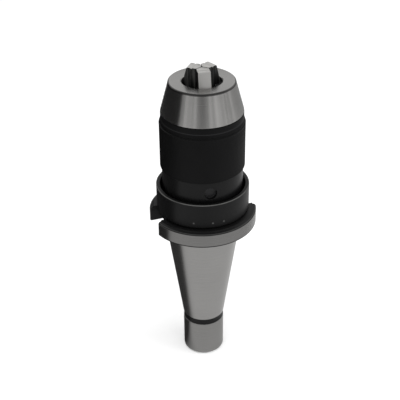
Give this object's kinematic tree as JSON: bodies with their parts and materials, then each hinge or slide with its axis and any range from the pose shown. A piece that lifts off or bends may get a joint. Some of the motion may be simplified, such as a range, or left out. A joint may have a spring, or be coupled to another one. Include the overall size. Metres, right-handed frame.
{
  "type": "drill chuck",
  "caption": "Keyless self-tightening drill chuck with an integral 7:24 taper shank and slotted flange, three jaws driven by a turning sleeve",
  "frame": {"origin": "Centre of the pilot's flat end face, the lowest point of the part as it stands on its pilot", "axes": "+Z along the chuck's axis, from the pilot to the jaws; X through the middles of the two drive slots in the flange; +Y completes a right-handed frame"},
  "size_m": [0.0604, 0.063, 0.1927],
  "materials": {
    "ground_steel": "ground bright steel with fine circumferential grinding lines",
    "black_oxide": "black oxide on turned and knurled steel, satin",
    "jaw_steel": "hardened ground steel, bright, slightly dull on the backs",
    "bearing_steel": "polished bearing steel",
    "cage_brass": "stamped brass",
    "seal_rubber": "black nitrile rubber"
  },
  "bodies": {
    "shank": {"shank": "ground_steel", "thrust_nut": "black_oxide", "nut_lock_screw": "black_oxide", "upper_race": "bearing_steel"},
    "sleeve": {"sleeve": "black_oxide", "bearing_ring": "black_oxide", "lower_race": "bearing_steel", "dust_seal": "seal_rubber", "jaw_guide": "black_oxide", "hood": "ground_steel"},
    "cage": {"ball_cage": "cage_brass", "ball_01": "bearing_steel", "ball_02": "bearing_steel", "ball_03": "bearing_steel", "ball_04": "bearing_steel", "ball_05": "bearing_steel", "ball_06": "bearing_steel", "ball_07": "bearing_steel", "ball_08": "bearing_steel", "ball_09": "bearing_steel", "ball_10": "bearing_steel", "ball_11": "bearing_steel", "ball_12": "bearing_steel", "ball_13": "bearing_steel", "ball_14": "bearing_steel", "ball_15": "bearing_steel", "ball_16": "bearing_steel"},
    "screw": {"drive_screw": "black_oxide"},
    "jaw_1": {"jaw_1": "jaw_steel"},
    "jaw_2": {"jaw_2": "jaw_steel"},
    "jaw_3": {"jaw_3": "jaw_steel"}
  },
  "joints": [
    {"name": "sleeve_turn", "type": "hinge", "parent": "shank", "child": "sleeve", "pos_m": [0, 0, 0.15], "axis": [0, 0, 1], "range_deg": [0, 2015]},
    {"name": "cage_turn", "type": "hinge", "parent": "shank", "child": "cage", "pos_m": [0, 0, 0.117], "axis": [0, 0, 1], "range_deg": [0, 1008]},
    {"name": "screw_slide", "type": "slide", "parent": "sleeve", "child": "screw", "axis": [0, 0, -1], "range_m": [0, 0.0224]},
    {"name": "jaw_1_slide", "type": "slide", "parent": "sleeve", "child": "jaw_1", "axis": [-0.04, -0.2557, -0.9659], "range_m": [0, 0.0232]},
    {"name": "jaw_2_slide", "type": "slide", "parent": "sleeve", "child": "jaw_2", "axis": [0.2415, 0.0932, -0.9659], "range_m": [0, 0.0232]},
    {"name": "jaw_3_slide", "type": "slide", "parent": "sleeve", "child": "jaw_3", "axis": [-0.2014, 0.1625, -0.9659], "range_m": [0, 0.0232]}
  ],
  "couplings": [
    {"joint": "cage_turn", "follows": "sleeve_turn", "ratio": 0.5},
    {"joint": "screw_slide", "follows": "sleeve_turn", "m_per_rad": 0.00063662},
    {"joint": "jaw_1_slide", "follows": "sleeve_turn", "m_per_rad": 0.00065908},
    {"joint": "jaw_2_slide", "follows": "sleeve_turn", "m_per_rad": 0.00065908},
    {"joint": "jaw_3_slide", "follows": "sleeve_turn", "m_per_rad": 0.00065908}
  ]
}
